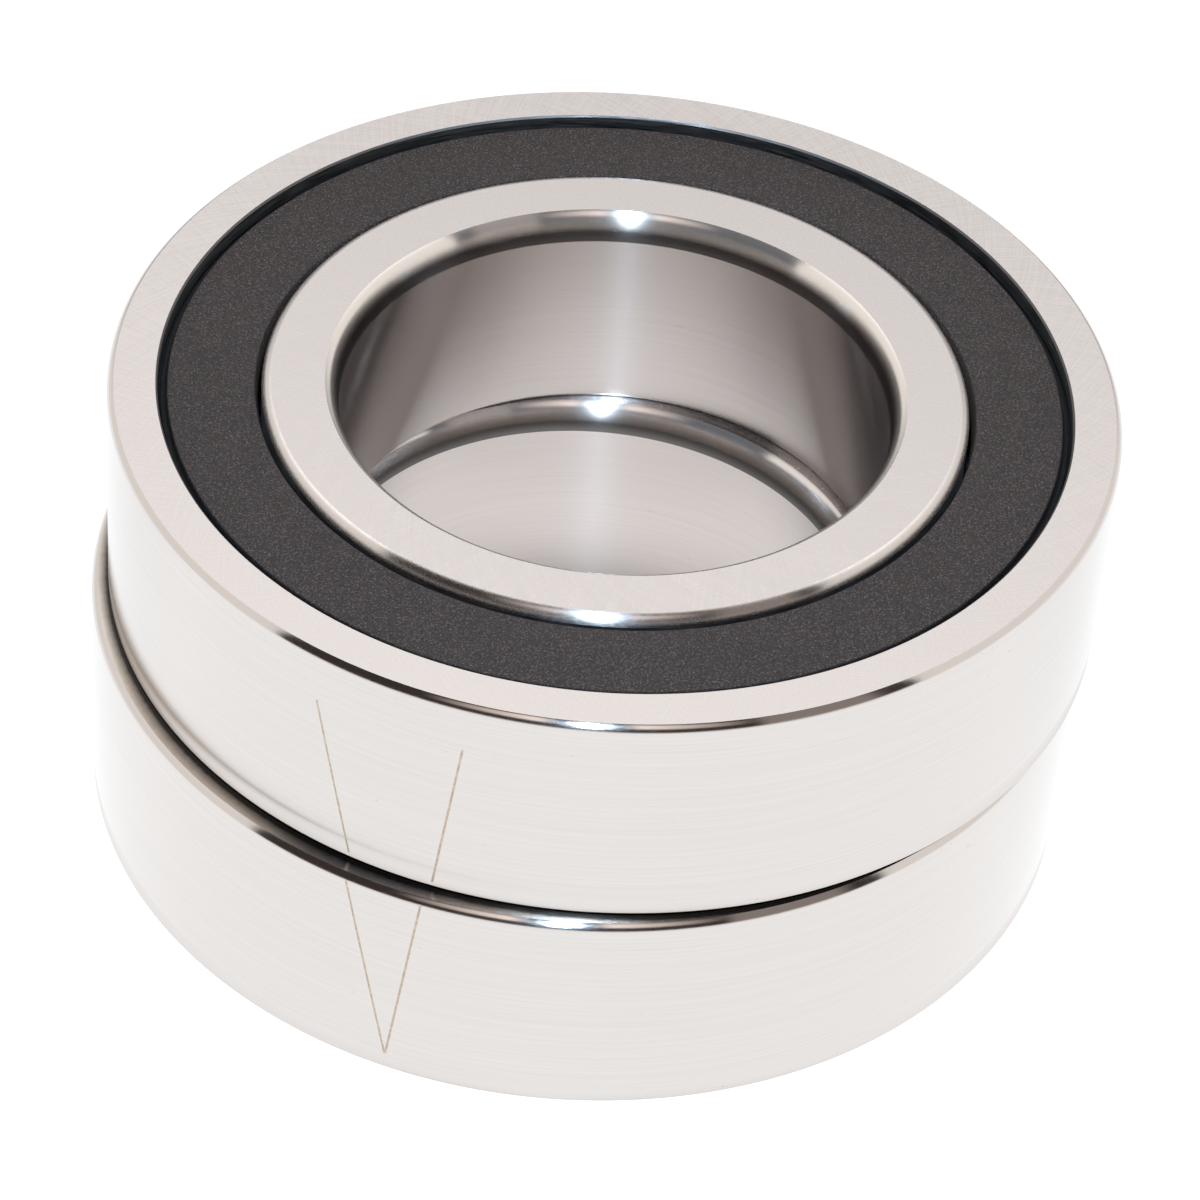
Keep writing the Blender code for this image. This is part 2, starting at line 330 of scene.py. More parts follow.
def outer_ring_outline(top_zone):
    """Outer ring, with round corners, seal grooves, high shoulder, raceway and counterbore."""
    quarter = math.pi / 2
    top = bulged((OUTSIDE_R - OUTER_CORNER, WIDTH), (OUTSIDE_R, WIDTH - OUTER_CORNER),
                 OUTER_CORNER_LEAN, 10, "corner")
    bottom = arc((OUTSIDE_R - OUTER_LOW_CORNER, OUTER_LOW_CORNER),
                 (OUTER_LOW_CORNER, OUTER_LOW_CORNER), 0.0, -quarter, 10, "corner")
    race_start = -math.acos((HIGH_SHOULDER_R - PITCH_R) / RACE_R)
    race_end = math.acos((LOW_SHOULDER_R - PITCH_R) / RACE_R)
    race = arc((PITCH_R, MID_HEIGHT), (RACE_R, RACE_R), race_start, race_end, 16, "race")
    floor = WIDTH - SEAL_GROOVE_FLOOR
    groove_top = WIDTH - SEAL_GROOVE_TOP
    return (
        last_zone(top, "side")
        + last_zone(bottom, "face")
        + [
            (OUTER_FACE_INNER_R, 0.0, "corner"),
            (MOUTH_R, EDGE_BREAK, "seat"),
            (MOUTH_R, SEAL_GROOVE_TOP, "seat"),
            (SEAL_GROOVE_R, SEAL_GROOVE_TOP, "seat"),
            (SEAL_GROOVE_R, SEAL_GROOVE_FLOOR, "seat"),
            (HIGH_SHOULDER_R, SEAL_GROOVE_FLOOR, "seat"),
        ]
        + last_zone(race, "seat")
        + [
            (COUNTERBORE_R, floor, "seat"),
            (SEAL_GROOVE_R, floor, "seat"),
            (SEAL_GROOVE_R, groove_top, "seat"),
            (MOUTH_R, groove_top, "seat"),
            (MOUTH_R, WIDTH - EDGE_BREAK, "seat"),
            (OUTER_FACE_INNER_R, WIDTH, top_zone),
        ]
    )


def inner_ring_outline(top_zone):
    """Inner ring, with round shoulders, raceway, and a long bore chamfer at the top."""
    quarter = math.pi / 2
    deep = INNER_CORNER_DEPTH
    corner = (INNER_SHOULDER_R - INNER_FACE_OUTER_R, deep)
    top = arc((INNER_FACE_OUTER_R, WIDTH - deep), corner, quarter, 0.0, 12, "shoulder")
    bottom = arc((INNER_FACE_OUTER_R, deep), corner, 0.0, -quarter, 12, "shoulder")
    race_start = math.acos((INNER_SHOULDER_R - PITCH_R) / RACE_R)
    race = arc((PITCH_R, MID_HEIGHT), (RACE_R, RACE_R),
               race_start, 2 * math.pi - race_start, 20, "race")
    middle = (INNER_FACE_INNER_R - BORE_CHAMFER_STEP[0], WIDTH - BORE_CHAMFER_STEP[1])
    top_chamfer = bulged((INNER_FACE_INNER_R, WIDTH), middle, BORE_CHAMFER_LEAN, 8, "chamfer")
    top_chamfer += bulged(middle, (BORE_R, WIDTH - BORE_CHAMFER_DEPTH),
                          BORE_CHAMFER_STEEP, 8, "chamfer")[1:]
    top_chamfer = top_chamfer[::-1]
    bottom_chamfer = bulged((BORE_R + SMALL_CHAMFER, 0.0), (BORE_R, SMALL_CHAMFER),
                            SMALL_CHAMFER_LEAN, 5, "shoulder")
    return (
        last_zone(top, "seat")
        + last_zone(race, "seat")
        + last_zone(bottom, "inner_face")
        + last_zone(bottom_chamfer, "bore")
        + last_zone(top_chamfer, top_zone)
    )


def seal_outline():
    """Top seal: flat face with rounded edges, step to a round rim, snap bead and lip."""
    quarter = math.pi / 2
    face = WIDTH - SEAL_FACE_DEPTH
    rim = WIDTH - SEAL_RIM_DEPTH
    groove_r = SEAL_FACE_OUTER_R + SEAL_STEP_WIDTH
    rim_round = (SEAL_RIM_R - groove_r) / 2
    bead_top = WIDTH - SEAL_BEAD_TOP
    bead_floor = WIDTH - SEAL_BEAD_FLOOR
    web = WIDTH - SEAL_WEB_DEPTH
    lip = WIDTH - SEAL_LIP_DEPTH
    step = arc((SEAL_FACE_OUTER_R - SEAL_ROUND, face - SEAL_ROUND), (SEAL_ROUND, SEAL_ROUND),
               quarter, 0.0, 5, "rubber")
    groove = [(groove_r, rim - SEAL_STEP_DROP, "rubber")]
    crown = arc((groove_r + rim_round, rim - rim_round), (rim_round, rim_round),
                math.pi, 0.0, 8, "rubber")
    inner = arc((SEAL_FACE_INNER_R + SEAL_ROUND, face - SEAL_ROUND), (SEAL_ROUND, SEAL_ROUND),
                math.pi, quarter, 5, "rubber")
    under = [
        (SEAL_RIM_R, bead_top, "rubber"),
        (SEAL_BEAD_R, bead_top - SEAL_BEAD_SLOPE, "rubber"),
        (SEAL_BEAD_R, bead_floor, "rubber"),
        (SEAL_FACE_OUTER_R, bead_floor, "rubber"),
        (SEAL_FACE_OUTER_R, web, "rubber"),
        (SEAL_POCKET_R, web, "rubber"),
        (SEAL_POCKET_R, lip, "rubber"),
        (SEAL_LIP_R, lip, "rubber"),
        (SEAL_LIP_R, web, "rubber"),
    ]
    return step + groove + crown[1:] + under + inner


def stiffener_outline():
    """Pressed steel disc inside a seal, with rounded edges."""
    top = WIDTH - STIFFENER_TOP
    low = top - STIFFENER_THICKNESS
    outer = SEAL_FACE_OUTER_R - STIFFENER_GAP
    inner = SEAL_POCKET_R + STIFFENER_GAP
    edge = STIFFENER_EDGE
    return [
        (outer - edge, top, "sheet"), (outer, top - edge, "sheet"),
        (outer, low + edge, "sheet"), (outer - edge, low, "sheet"),
        (inner + edge, low, "sheet"), (inner, low + edge, "sheet"),
        (inner, top - edge, "sheet"), (inner + edge, top, "sheet"),
    ]


def turned_over(outline):
    """The same section at the other end of the bearing."""
    count = len(outline)
    return [(outline[index][0], WIDTH - outline[index][1], outline[index - 1][2])
            for index in range(count - 1, -1, -1)]


# ---------------------------------------------------------------- materials

def principled(name, colour, roughness, metallic):
    """A material with a Principled BSDF, and its node tree."""
    material = bpy.data.materials.new(name)
    material.use_nodes = True
    tree = material.node_tree
    shader = tree.nodes["Principled BSDF"]
    shader.inputs["Base Color"].default_value = (*colour, 1.0)
    shader.inputs["Roughness"].default_value = roughness
    shader.inputs["Metallic"].default_value = metallic
    return material, tree, shader


def feed(tree, socket, value):
    """Link a socket to another one, or set it to a value."""
    if isinstance(value, bpy.types.NodeSocket):
        tree.links.new(value, socket)
    else:
        socket.default_value = value


def math_node(tree, operation, first, second=0.0):
    """A Math node. Each input is a number or a socket."""
    node = tree.nodes.new("ShaderNodeMath")
    node.operation = operation
    feed(tree, node.inputs[0], first)
    feed(tree, node.inputs[1], second)
    return node.outputs[0]


def product(tree, *factors):
    """Product of a socket and more sockets or numbers."""
    result = factors[0]
    for factor in factors[1:]:
        result = math_node(tree, "MULTIPLY", result, factor)
    return result


def vector_node(tree, operation, first, second):
    """A Vector Math node. Each input is a triple or a socket."""
    node = tree.nodes.new("ShaderNodeVectorMath")
    node.operation = operation
    feed(tree, node.inputs[0], first)
    feed(tree, node.inputs[1], second)
    return node.outputs[0]


def scaled(tree, vector, factor):
    """A vector or colour socket, times a socket or a number."""
    node = tree.nodes.new("ShaderNodeVectorMath")
    node.operation = "SCALE"
    feed(tree, node.inputs[0], vector)
    feed(tree, node.inputs["Scale"], factor)
    return node.outputs[0]


def length_of(tree, vector):
    """Length of a vector."""
    node = tree.nodes.new("ShaderNodeVectorMath")
    node.operation = "LENGTH"
    tree.links.new(vector, node.inputs[0])
    return node.outputs["Value"]


def split(tree, vector):
    """The X, Y and Z of a vector."""
    node = tree.nodes.new("ShaderNodeSeparateXYZ")
    tree.links.new(vector, node.inputs[0])
    return node.outputs


def millimetres(tree):
    """The piece's own coordinates, in millimetres from the bearing's axis."""
    place = tree.nodes.new("ShaderNodeTexCoord")
    return scaled(tree, place.outputs["Object"], 1000.0)


def noise(tree, vector, detail, roughness):
    """Noise with features about one unit across."""
    node = tree.nodes.new("ShaderNodeTexNoise")
    node.inputs["Scale"].default_value = 1.0
    node.inputs["Detail"].default_value = detail
    node.inputs["Roughness"].default_value = roughness
    tree.links.new(vector, node.inputs["Vector"])
    return node.outputs["Fac"]


def stretched_noise(tree, place, scales, detail, roughness):
    """Noise with features one unit divided by the scales long, along X, Y and Z."""
    return noise(tree, vector_node(tree, "MULTIPLY", place, scales), detail, roughness)


def remap(tree, value, low, high, to_low, to_high):
    """A clamped Map Range."""
    node = tree.nodes.new("ShaderNodeMapRange")
    tree.links.new(value, node.inputs["Value"])
    for name, number in (("From Min", low), ("From Max", high),
                         ("To Min", to_low), ("To Max", to_high)):
        node.inputs[name].default_value = number
    return node.outputs["Result"]


def rising(tree, value, low, high):
    """Zero up to the low value, one from the high value on."""
    return remap(tree, value, low, high, 0.0, 1.0)


def falling(tree, value, low, high):
    """One up to the low value, zero from the high value on."""
    return remap(tree, value, low, high, 1.0, 0.0)


def mix_colour(tree, factor, first, second):
    """Mix two colours by a factor socket. Each colour is a triple or a socket."""
    node = tree.nodes.new("ShaderNodeMix")
    node.data_type = "RGBA"
    tree.links.new(factor, node.inputs[0])
    for socket, value in ((node.inputs[6], first), (node.inputs[7], second)):
        if isinstance(value, tuple):
            value = (*value, 1.0)
        feed(tree, socket, value)
    return node.outputs[2]


def times(colour, factor):
    """A colour, darker or brighter by a factor."""
    return tuple(channel * factor for channel in colour)


def from_axis(tree, place):
    """Distance from the bearing's axis."""
    return length_of(tree, vector_node(tree, "MULTIPLY", place, (1.0, 1.0, 0.0)))


def bump(tree, shader, height, distance):
    """Bump on the shader. A height of one is the distance, in metres."""
    node = tree.nodes.new("ShaderNodeBump")
    node.inputs["Strength"].default_value = 1.0
    node.inputs["Distance"].default_value = distance
    tree.links.new(height, node.inputs["Height"])
    tree.links.new(node.outputs["Normal"], shader.inputs["Normal"])


def radial_streaks(tree, place, per_radian, twist):
    """Noise drawn out along lines that run outward and lean by twist radians a millimetre."""
    flat = vector_node(tree, "MULTIPLY", place, (1.0, 1.0, 0.0))
    radius = length_of(tree, flat)
    unit = tree.nodes.new("ShaderNodeVectorMath")
    unit.operation = "NORMALIZE"
    tree.links.new(flat, unit.inputs[0])
    turn = tree.nodes.new("ShaderNodeVectorRotate")
    turn.rotation_type = "Z_AXIS"
    tree.links.new(unit.outputs[0], turn.inputs["Vector"])
    tree.links.new(math_node(tree, "MULTIPLY", radius, twist), turn.inputs["Angle"])
    spread = vector_node(tree, "MULTIPLY", turn.outputs[0], (per_radian,) * 3)
    slow = tree.nodes.new("ShaderNodeCombineXYZ")
    tree.links.new(math_node(tree, "MULTIPLY", radius, 0.35), slow.inputs["Z"])
    return noise(tree, vector_node(tree, "ADD", spread, slow.outputs[0]),
                 detail=3.0, roughness=0.6)


def ground_face_material(name, colour, contrast):
    """Flat ring face, ground with two sets of fine lines that lean opposite ways."""
    material, tree, shader = principled(name, colour, roughness=0.3, metallic=1.0)
    place = millimetres(tree)
    fine = radial_streaks(tree, place, per_radian=150.0, twist=0.02)
    leaning = radial_streaks(tree, place, per_radian=95.0, twist=-0.05)
    both = math_node(tree, "ADD", fine, leaning)
    shade = mix_colour(tree, rising(tree, both, 0.82, 1.18),
                       times(colour, 0.95 - contrast), times(colour, 0.95 + contrast))
    tree.links.new(shade, shader.inputs["Base Color"])
    tree.links.new(remap(tree, both, 0.7, 1.3, 0.24, 0.38), shader.inputs["Roughness"])
    bump(tree, shader, both, 0.0012 * MM)
    return material


def along_grooves(tree, shader, anisotropy):
    """Stretch reflections across circular grooves."""
    shader.inputs["Anisotropic"].default_value = anisotropy
    shader.inputs["Anisotropic Rotation"].default_value = 0.25
    tangent = tree.nodes.new("ShaderNodeTangent")
    tangent.direction_type = "RADIAL"
    tangent.axis = "Z"
    tree.links.new(tangent.outputs[0], shader.inputs["Tangent"])


def ground_side_material(name, colour, roughness, anisotropy, depth, roll):
    """Cylinder ground in circles round its axis.

    Depth is that of the lines, in millimetres. Roll turns its lower edge in.
    """
    material, tree, shader = principled(name, colour, roughness, metallic=1.0)
    place = millimetres(tree)
    lines = stretched_noise(tree, place, (0.06, 0.06, 9.0), detail=4.0, roughness=0.7)
    pits = stretched_noise(tree, place, (2.5, 2.5, 5.0), detail=2.0, roughness=0.6)
    shade = mix_colour(tree, rising(tree, lines, 0.35, 0.65), times(colour, 0.95), colour)
    shade = mix_colour(tree, rising(tree, pits, 0.72, 0.78), shade, times(colour, 0.8))
    tree.links.new(shade, shader.inputs["Base Color"])
    along_grooves(tree, shader, anisotropy)
    to_edge = remap(tree, split(tree, place)["Z"], 0.0, EDGE_ROLL, EDGE_ROLL, 0.0)
    rolled = product(tree, to_edge, to_edge, roll)
    fine = math_node(tree, "MULTIPLY", lines, depth)
    bump(tree, shader, math_node(tree, "ADD", fine, rolled), MM)
    return material


def polished_material(name, colour, roughness, anisotropy, depth):
    """Turned corner, bright, with circular grooves and tiny facets. Depth is in millimetres."""
    material, tree, shader = principled(name, colour, roughness, metallic=1.0)
    place = millimetres(tree)
    grain = stretched_noise(tree, place, (3.0, 3.0, 14.0), detail=2.0, roughness=0.6)
    tree.links.new(remap(tree, grain, 0.3, 0.7, roughness * 0.85, roughness * 1.15),
                   shader.inputs["Roughness"])
    along_grooves(tree, shader, anisotropy)
    bump(tree, shader, grain, depth * MM)
    return material


def chamfer_material(name, colour, roughness):
    """Bore chamfer with painted light: a bright colour at the face as a painted highlight, and a
    dark colour at the bore as painted shade.
    """
    material, tree, shader = principled(name, colour, roughness, metallic=1.0)
    place = millimetres(tree)
    grain = stretched_noise(tree, place, (3.0, 3.0, 14.0), detail=2.0, roughness=0.6)
    height = math_node(tree, "ADD", split(tree, place)["Z"],
                       math_node(tree, "MULTIPLY", grain, 0.1))
    # Painted highlight above and painted shade below: this colour stands in for reflections.
    bright = (colour[0] * 1.15, colour[1] * 1.12, colour[2] * 1.08)
    shade = mix_colour(tree, rising(tree, height, *CHAMFER_PAINTED_LIGHT), times(colour, 0.17), bright)
    tree.links.new(shade, shader.inputs["Base Color"])
    tree.links.new(remap(tree, height, *CHAMFER_PALE, 1.0, 0.9), shader.inputs["Metallic"])
    along_grooves(tree, shader, anisotropy=1.0)
    bump(tree, shader, grain, 0.0003 * MM)
    return material


def joint_face_material(name, colour):
    """Top face in the joint, with a painted shadow: a dark line near the edge of the upper
    bearing.
    """
    material, tree, shader = principled(name, colour, roughness=0.24, metallic=1.0)
    place = millimetres(tree)
    grain = stretched_noise(tree, place, (2.0, 2.0, 2.0), detail=3.0, roughness=0.6)
    from_centre = vector_node(tree, "SUBTRACT", place, SHADOW_LINE_CENTRE)
    reach = math_node(tree, "ADD", length_of(tree, from_centre),
                      math_node(tree, "MULTIPLY", grain, 0.15))
    # Painted shadow: a dark ring where the upper bearing stands on this face.
    line = product(tree, rising(tree, reach, *SHADOW_LINE_INSIDE),
                   falling(tree, reach, *SHADOW_LINE_OUTSIDE))
    shade = mix_colour(tree, line, colour, times(colour, 0.05))
    tree.links.new(shade, shader.inputs["Base Color"])
    bump(tree, shader, grain, 0.002 * MM)
    return material


def rubber_material():
    """Matt black moulded rubber with a fine grain, pale specks painted as glints, and painted
    shade in the outer gap.
    """
    material, tree, shader = principled("seal_rubber", RUBBER, roughness=0.7, metallic=0.0)
    place = millimetres(tree)
    grain = stretched_noise(tree, place, (9.0, 9.0, 9.0), detail=3.0, roughness=0.7)
    specks = stretched_noise(tree, place, (9.0, 9.0, 9.0), detail=1.0, roughness=0.5)
    shade = mix_colour(tree, rising(tree, grain, 0.35, 0.65), RUBBER_DARK, RUBBER_LIGHT)
    # Painted glints as pale specks, then painted shade in the gap to the outer ring.
    shade = mix_colour(tree, rising(tree, specks, 0.57, 0.69), shade, RUBBER_PAINTED_GLINT)
    shade = scaled(tree, shade, remap(tree, from_axis(tree, place), *SEAL_GAP_SHADE, 1.0, 0.15))
    tree.links.new(shade, shader.inputs["Base Color"])
    tree.links.new(remap(tree, grain, 0.3, 0.7, 0.5, 0.8), shader.inputs["Roughness"])
    shader.inputs["Specular IOR Level"].default_value = 0.25
    bump(tree, shader, grain, 0.11 * MM)
    return material


def plain_steel_material(name, colour, roughness):
    """Steel with a faint turned grain, for pieces and surfaces out of sight."""
    material, tree, shader = principled(name, colour, roughness, metallic=1.0)
    place = millimetres(tree)
    lines = stretched_noise(tree, place, (0.5, 0.5, 9.0), detail=3.0, roughness=0.6)
    tree.links.new(remap(tree, lines, 0.3, 0.7, roughness * 0.7, roughness * 1.4),
                   shader.inputs["Roughness"])
    bump(tree, shader, lines, 0.002 * MM)
    return material


def phenolic_material():
    """Brown cloth-reinforced resin, machined."""
    material, tree, shader = principled("cage_resin", RESIN, roughness=0.5, metallic=0.0)
    place = millimetres(tree)
    weave = tree.nodes.new("ShaderNodeTexWave")
    weave.inputs["Scale"].default_value = 2.2
    weave.inputs["Distortion"].default_value = 1.5
    weave.inputs["Detail"].default_value = 2.0
    tree.links.new(place, weave.inputs["Vector"])
    grain = stretched_noise(tree, place, (4.0, 4.0, 4.0), detail=3.0, roughness=0.6)
    both = math_node(tree, "MULTIPLY", weave.outputs["Fac"], grain)
    shade = mix_colour(tree, both, RESIN_LIGHT, RESIN_DARK)
    tree.links.new(shade, shader.inputs["Base Color"])
    bump(tree, shader, both, 0.02 * MM)
    return material


def mark_material():
    """Thin etched line, light brown with darker grains."""
    material, tree, shader = principled("match_mark", MARK, roughness=0.5, metallic=0.2)
    place = millimetres(tree)
    grain = stretched_noise(tree, place, (5.0, 5.0, 5.0), detail=2.0, roughness=0.6)
    shade = mix_colour(tree, rising(tree, grain, 0.35, 0.7), MARK_LIGHT, MARK_DARK)
    tree.links.new(shade, shader.inputs["Base Color"])
    bump(tree, shader, grain, 0.004 * MM)
    return material


# ---------------------------------------------------------------- pieces

def ring_materials():
    """Materials of the zones of both rings. Seats are the grooves and recesses, and their steel is
    drawn dark as painted shade.
    """
    return {
        "face": ground_face_material("ring_face", STEEL, contrast=0.07),
        "inner_face": ground_face_material("inner_ring_face", INNER_FACE_STEEL, contrast=0.035),
        "side": ground_side_material("ring_side", STEEL, roughness=0.16, anisotropy=0.8,
                                     depth=0.0006, roll=0.19),
        "bore": ground_side_material("ring_bore", BORE_STEEL, roughness=0.21, anisotropy=1.0,
                                     depth=0.0005, roll=0.0),
        "corner": polished_material("ring_corner", STEEL, roughness=0.12, anisotropy=0.9,
                                    depth=0.0004),
        "shoulder": polished_material("ring_shoulder", STEEL, roughness=0.24, anisotropy=1.0,
                                      depth=0.0005),
        "chamfer": chamfer_material("ring_chamfer", STEEL, roughness=0.19),
        "joint": joint_face_material("joint_face", JOINT_STEEL),
        "seat": plain_steel_material("ring_seat", SEAT_SHADE_STEEL, roughness=0.5),
        "race": plain_steel_material("ring_race", RACE_STEEL, roughness=0.12),
    }


def pick(materials, *zones):
    """Some of the zones' materials, in the order given."""
    return {zone: materials[zone] for zone in zones}


def add_piece(piece, node, body):
    """Set a piece on its body, in place of its CAD node."""
    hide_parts(node)
    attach(piece, body)


def add_turned_pieces(bearing, rings, rubber, sheet):
    """Rings, seals and stiffeners of one bearing."""
    name = bearing.name
    outer_body = f"{name}_outer_race"
    outer_top = "joint" if name == "lower" else "face"
    outer = turned(f"{name}_outer_ring_steel", bearing, outer_ring_outline(outer_top),
                   pick(rings, "face", "joint", "side", "corner", "seat", "race"), RING_SEGMENTS)
    add_piece(outer, f"{name}_outer_ring", outer_body)
    inner_top = "shoulder" if name == "lower" else "inner_face"
    inner = turned(f"{name}_inner_ring_steel", bearing, inner_ring_outline(inner_top),
                   pick(rings, "inner_face", "bore", "shoulder", "chamfer", "seat", "race"),
                   RING_SEGMENTS)
    add_piece(inner, f"{name}_inner_ring", f"{name}_inner_race")
    ends = {"top": seal_outline(), "bottom": turned_over(seal_outline())}
    for end, outline in ends.items():
        seal = turned(f"{name}_{end}_seal_rubber", bearing, outline,
                      {"rubber": rubber}, SEAL_SEGMENTS)
        add_piece(seal, f"{name}_{end}_seal", outer_body)
    ends = {"top": stiffener_outline(), "bottom": turned_over(stiffener_outline())}
    for end, outline in ends.items():
        disc = turned(f"{name}_{end}_stiffener_disc", bearing, outline,
                      {"sheet": sheet}, HIDDEN_SEGMENTS)
        add_piece(disc, f"{name}_{end}_seal_stiffener", outer_body)


def add_match_mark(bearing, material):
    """The lines of the V on this bearing's outer ring: thin strips that follow its side."""
    shape = bmesh.new()
    half_angle = MARK_WIDTH / 2 / OUTSIDE_R
    for (start_angle, start_height), (end_angle, end_height) in MARK_LINES[bearing.name]:
        sections = []
        for step in range(MARK_STEPS + 1):
            share = step / MARK_STEPS
            angle = math.radians(start_angle + (end_angle - start_angle) * share)
            height = start_height + (end_height - start_height) * share
            z = height * MM
            corners = []
            for side, proud in ((-1, MARK_ROOT), (-MARK_FLAT, MARK_THICKNESS),
                                (MARK_FLAT, MARK_THICKNESS), (1, MARK_ROOT)):
                turn = angle + side * half_angle
                radius = (OUTSIDE_R + proud) * MM
                corners.append(shape.verts.new((radius * math.sin(turn),
                                                -radius * math.cos(turn), z)))
            sections.append(corners)
        for here, following in zip(sections, sections[1:]):
            for index in range(4):
                after = (index + 1) % 4
                shape.faces.new((here[index], here[after], following[after], following[index]))
        shape.faces.new(sections[0][::-1])
        shape.faces.new(sections[-1])
    bmesh.ops.recalc_face_normals(shape, faces=shape.faces)
    mark = finish_mesh(f"{bearing.name}_match_mark", shape, bearing.origin, [material])
    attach(mark, f"{bearing.name}_outer_race")


def cage_outline():
    """Cage ring with small edge chamfers, before its pockets are cut."""
    low, high = MID_HEIGHT - CAGE_HALF_WIDTH, MID_HEIGHT + CAGE_HALF_WIDTH
    edge = CAGE_EDGE
    return [
        (CAGE_OUTER_R - edge, high, "cage"), (CAGE_OUTER_R, high - edge, "cage"),
        (CAGE_OUTER_R, low + edge, "cage"), (CAGE_OUTER_R - edge, low, "cage"),
        (CAGE_INNER_R + edge, low, "cage"), (CAGE_INNER_R, low + edge, "cage"),
        (CAGE_INNER_R, high - edge, "cage"), (CAGE_INNER_R + edge, high, "cage"),
    ]


def add_cage(bearing, material):
    """Cage with a round pocket for each ball."""
    cage = turned(f"{bearing.name}_cage_ring", bearing, cage_outline(),
                  {"cage": material}, CAGE_SEGMENTS)
    shape = bmesh.new()
    for index in range(BALL_COUNT):
        place = Matrix.Translation((0.0, 0.0, MID_HEIGHT * MM))
        place = place @ Matrix.Rotation(2 * math.pi * index / BALL_COUNT, 4, "Z")
        place = place @ Matrix.Translation((PITCH_R * MM, 0.0, 0.0))
        place = place @ Matrix.Rotation(math.pi / 2, 4, "Y")
        bmesh.ops.create_cone(shape, cap_ends=True, segments=POCKET_SEGMENTS,
                              radius1=POCKET_R * MM, radius2=POCKET_R * MM,
                              depth=POCKET_LENGTH * MM, matrix=place)
    cutter = finish_mesh(f"{bearing.name}_pockets", shape, bearing.origin, [])
    boolean = cage.modifiers.new("pockets", "BOOLEAN")
    boolean.operation = "DIFFERENCE"
    boolean.solver = "EXACT"
    boolean.object = cutter
    bpy.context.view_layer.update()
    evaluated = cage.evaluated_get(bpy.context.evaluated_depsgraph_get())
    cut_mesh = bpy.data.meshes.new_from_object(evaluated)
    cage.modifiers.clear()
    cage.data = cut_mesh
    cut_mesh.shade_smooth()
    cut_mesh.set_sharp_from_angle(angle=SHARP_ANGLE)
    bpy.data.objects.remove(cutter)
    add_piece(cage, f"{bearing.name}_cage", f"{bearing.name}_cage_body")


def add_balls(bearing, material):
    """The balls, each with its pole on its own rolling axis."""
    shape = bmesh.new()
    bmesh.ops.create_icosphere(shape, subdivisions=BALL_SUBDIVISIONS, radius=BALL_R * MM)
    for face in shape.faces:
        face.smooth = True
    mesh = bpy.data.meshes.new("ball")
    shape.to_mesh(mesh)
    shape.free()
    mesh.materials.append(material)
    for index in range(BALL_COUNT):
        angle = 2 * math.pi * index / BALL_COUNT
        offset = Vector((PITCH_R * math.cos(angle), PITCH_R * math.sin(angle), MID_HEIGHT))
        name = f"{bearing.name}_ball_{index + 1:02d}"
        ball = bpy.data.objects.new(f"{name}_steel", mesh)
        bpy.context.scene.collection.objects.link(ball)
        ball.location = bearing.origin + offset * MM
        ball.rotation_euler = (0.0, CONTACT_ANGLE, angle)
        add_piece(ball, name, f"{name}_body")


# ---------------------------------------------------------------- studio

def add_floor():
    """White table that the pair stands on, drawn as a glowing sheet. It glows less inside the
    bore: a painted pool of light that fades into painted shade towards the ring.
    """
    shape = bmesh.new()
    bmesh.ops.create_grid(shape, x_segments=1, y_segments=1, size=FLOOR_HALF)
    material, tree, shader = principled("white_table", BLACK, roughness=1.0, metallic=0.0)
    shader.inputs["Specular IOR Level"].default_value = 0.0
    shader.inputs["Emission Color"].default_value = FLOOR_COLOUR
    place = millimetres(tree)
    from_centre = length_of(tree, place)
    depth = split(tree, place)["Y"]
    glow = remap(tree, depth, *FLOOR_FADE, FLOOR_GLOW, FLOOR_GLOW_BEHIND)
    # Painted pool of light inside the bore, fading into painted shade near the ring.
    pool = math_node(tree, "ADD", remap(tree, depth, *POOL_MIDDLE), remap(tree, depth, *POOL_REAR))
    pool = math_node(tree, "ADD", pool, remap(tree, depth, *POOL_FRONT))
    pool = product(tree, pool, remap(tree, from_centre, *POOL_FADE))
    strength = tree.nodes.new("ShaderNodeMix")
    tree.links.new(rising(tree, from_centre, *POOL_EDGE), strength.inputs[0])
    tree.links.new(pool, strength.inputs[2])
    tree.links.new(glow, strength.inputs[3])
    tree.links.new(strength.outputs[0], shader.inputs["Emission Strength"])
    floor = finish_mesh("floor", shape, (0.0, 0.0, CAD_BOX[0][2] - FLOOR_GAP), [material])


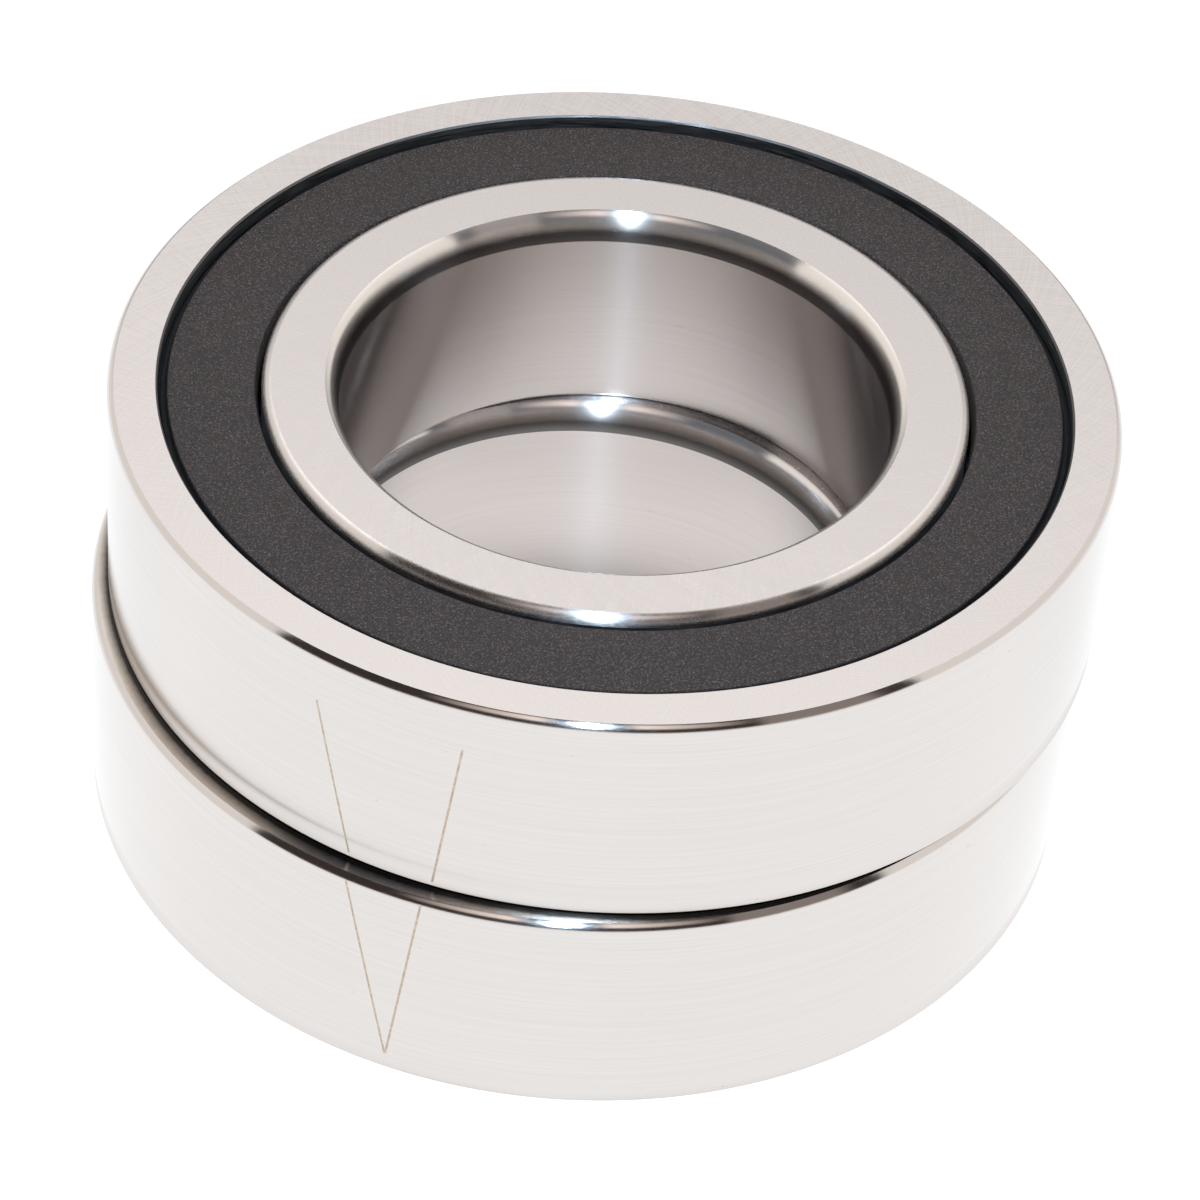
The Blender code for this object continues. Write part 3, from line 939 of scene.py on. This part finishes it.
def add_world():
    """Bright room. Behind the pair it is dim low down and brightest high up.

    A dark screen, grey in one part, stands in front and leans overhead. Two pale panels hang
    on it, one each side of its middle.
    """
    world = bpy.data.worlds.new("studio")
    world.use_nodes = True
    bpy.context.scene.world = world
    tree = world.node_tree
    place = tree.nodes.new("ShaderNodeTexCoord")
    across, back, up = split(tree, place.outputs["Generated"])
    level = product(tree, remap(tree, up, *BEHIND_HEIGHTS, *BEHIND_LEVELS),
                    remap(tree, across, *BEHIND_TILT, *BEHIND_TILT_LEVELS))
    behind = product(tree, rising(tree, back, *BEHIND_BACK),
                     falling(tree, math_node(tree, "ABSOLUTE", across), *BEHIND_SIDES))
    room = mix_colour(tree, behind, ROOM_FRONT, ROOM_BEHIND)
    extra = math_node(tree, "MULTIPLY", behind, math_node(tree, "SUBTRACT", level, 1.0))
    room = scaled(tree, room, math_node(tree, "ADD", 1.0, extra))
    side = math_node(tree, "DIVIDE", across, math_node(tree, "SUBTRACT", VIEW_BACK, back))
    screen_shape = product(
        tree,
        rising(tree, side, *SCREEN_LEFT),
        falling(tree, side, *SCREEN_RIGHT),
        rising(tree, up, *SCREEN_FOOT),
        falling(tree, back, *SCREEN_TOP),
    )
    grey = product(tree, rising(tree, side, *GREY_LEFT), falling(tree, side, *GREY_RIGHT))
    screen = mix_colour(tree, grey, SCREEN_COLOUR, GREY_COLOUR)
    from_middle = math_node(tree, "ABSOLUTE", side)
    panels = product(
        tree,
        rising(tree, from_middle, *PANEL_INSIDE),
        falling(tree, from_middle, *PANEL_OUTSIDE),
        rising(tree, up, *PANEL_FOOT),
        falling(tree, back, *PANEL_BACK),
    )
    screen = mix_colour(tree, panels, screen, PANEL_COLOUR)
    sky = mix_colour(tree, screen_shape, room, screen)
    tree.links.new(sky, tree.nodes["Background"].inputs["Color"])
    tree.nodes["Background"].inputs["Strength"].default_value = 1.0


def add_lamp():
    """Tall narrow cool lamp over the camera."""
    light = bpy.data.lights.new("lamp", "AREA")
    light.shape = "RECTANGLE"
    light.size = LAMP_WIDTH
    light.size_y = LAMP_LENGTH
    light.energy = LAMP_POWER
    light.color = LAMP_COLOUR
    lamp = bpy.data.objects.new("lamp", light)
    bpy.context.scene.collection.objects.link(lamp)
    direction = Vector((0.0, -math.cos(LAMP_ELEVATION), math.sin(LAMP_ELEVATION)))
    lamp.location = direction * LAMP_DISTANCE
    lamp.rotation_euler = direction.to_track_quat("Z", "Y").to_euler()


def add_camera(top_centre):
    """Camera in front of the pair and above it, turned slightly about its line of sight."""
    data = bpy.data.cameras.new("camera")
    data.lens = CAMERA_LENS
    data.sensor_width = SENSOR
    data.clip_start = 0.01
    data.clip_end = 10.0
    camera = bpy.data.objects.new("camera", data)
    bpy.context.scene.collection.objects.link(camera)
    offset = Vector((0.0, -math.cos(CAMERA_ELEVATION), math.sin(CAMERA_ELEVATION)))
    place = Matrix.Translation(top_centre + offset * CAMERA_DISTANCE)
    pitch = Matrix.Rotation(math.pi / 2 - CAMERA_ELEVATION + CAMERA_TILT, 4, "X")
    camera.matrix_world = place @ pitch @ Matrix.Rotation(CAMERA_ROLL, 4, "Z")
    bpy.context.scene.camera = camera


def main():
    """Build the looks round the frame."""
    rings = ring_materials()
    rubber = rubber_material()
    sheet = plain_steel_material("stiffener_steel", SHEET_STEEL, roughness=0.4)
    ball_steel = plain_steel_material("ball_steel", BALL_STEEL, roughness=0.06)
    resin = phenolic_material()
    mark = mark_material()
    upper = Bearing("upper")
    lower = Bearing("lower")
    for bearing in (lower, upper):
        add_turned_pieces(bearing, rings, rubber, sheet)
        add_cage(bearing, resin)
        add_balls(bearing, ball_steel)
        add_match_mark(bearing, mark)
    add_floor()
    add_world()
    add_lamp()
    add_camera(upper.origin + Vector((0.0, 0.0, WIDTH * MM)))
    bpy.context.scene.view_settings.view_transform = "Standard"


main()
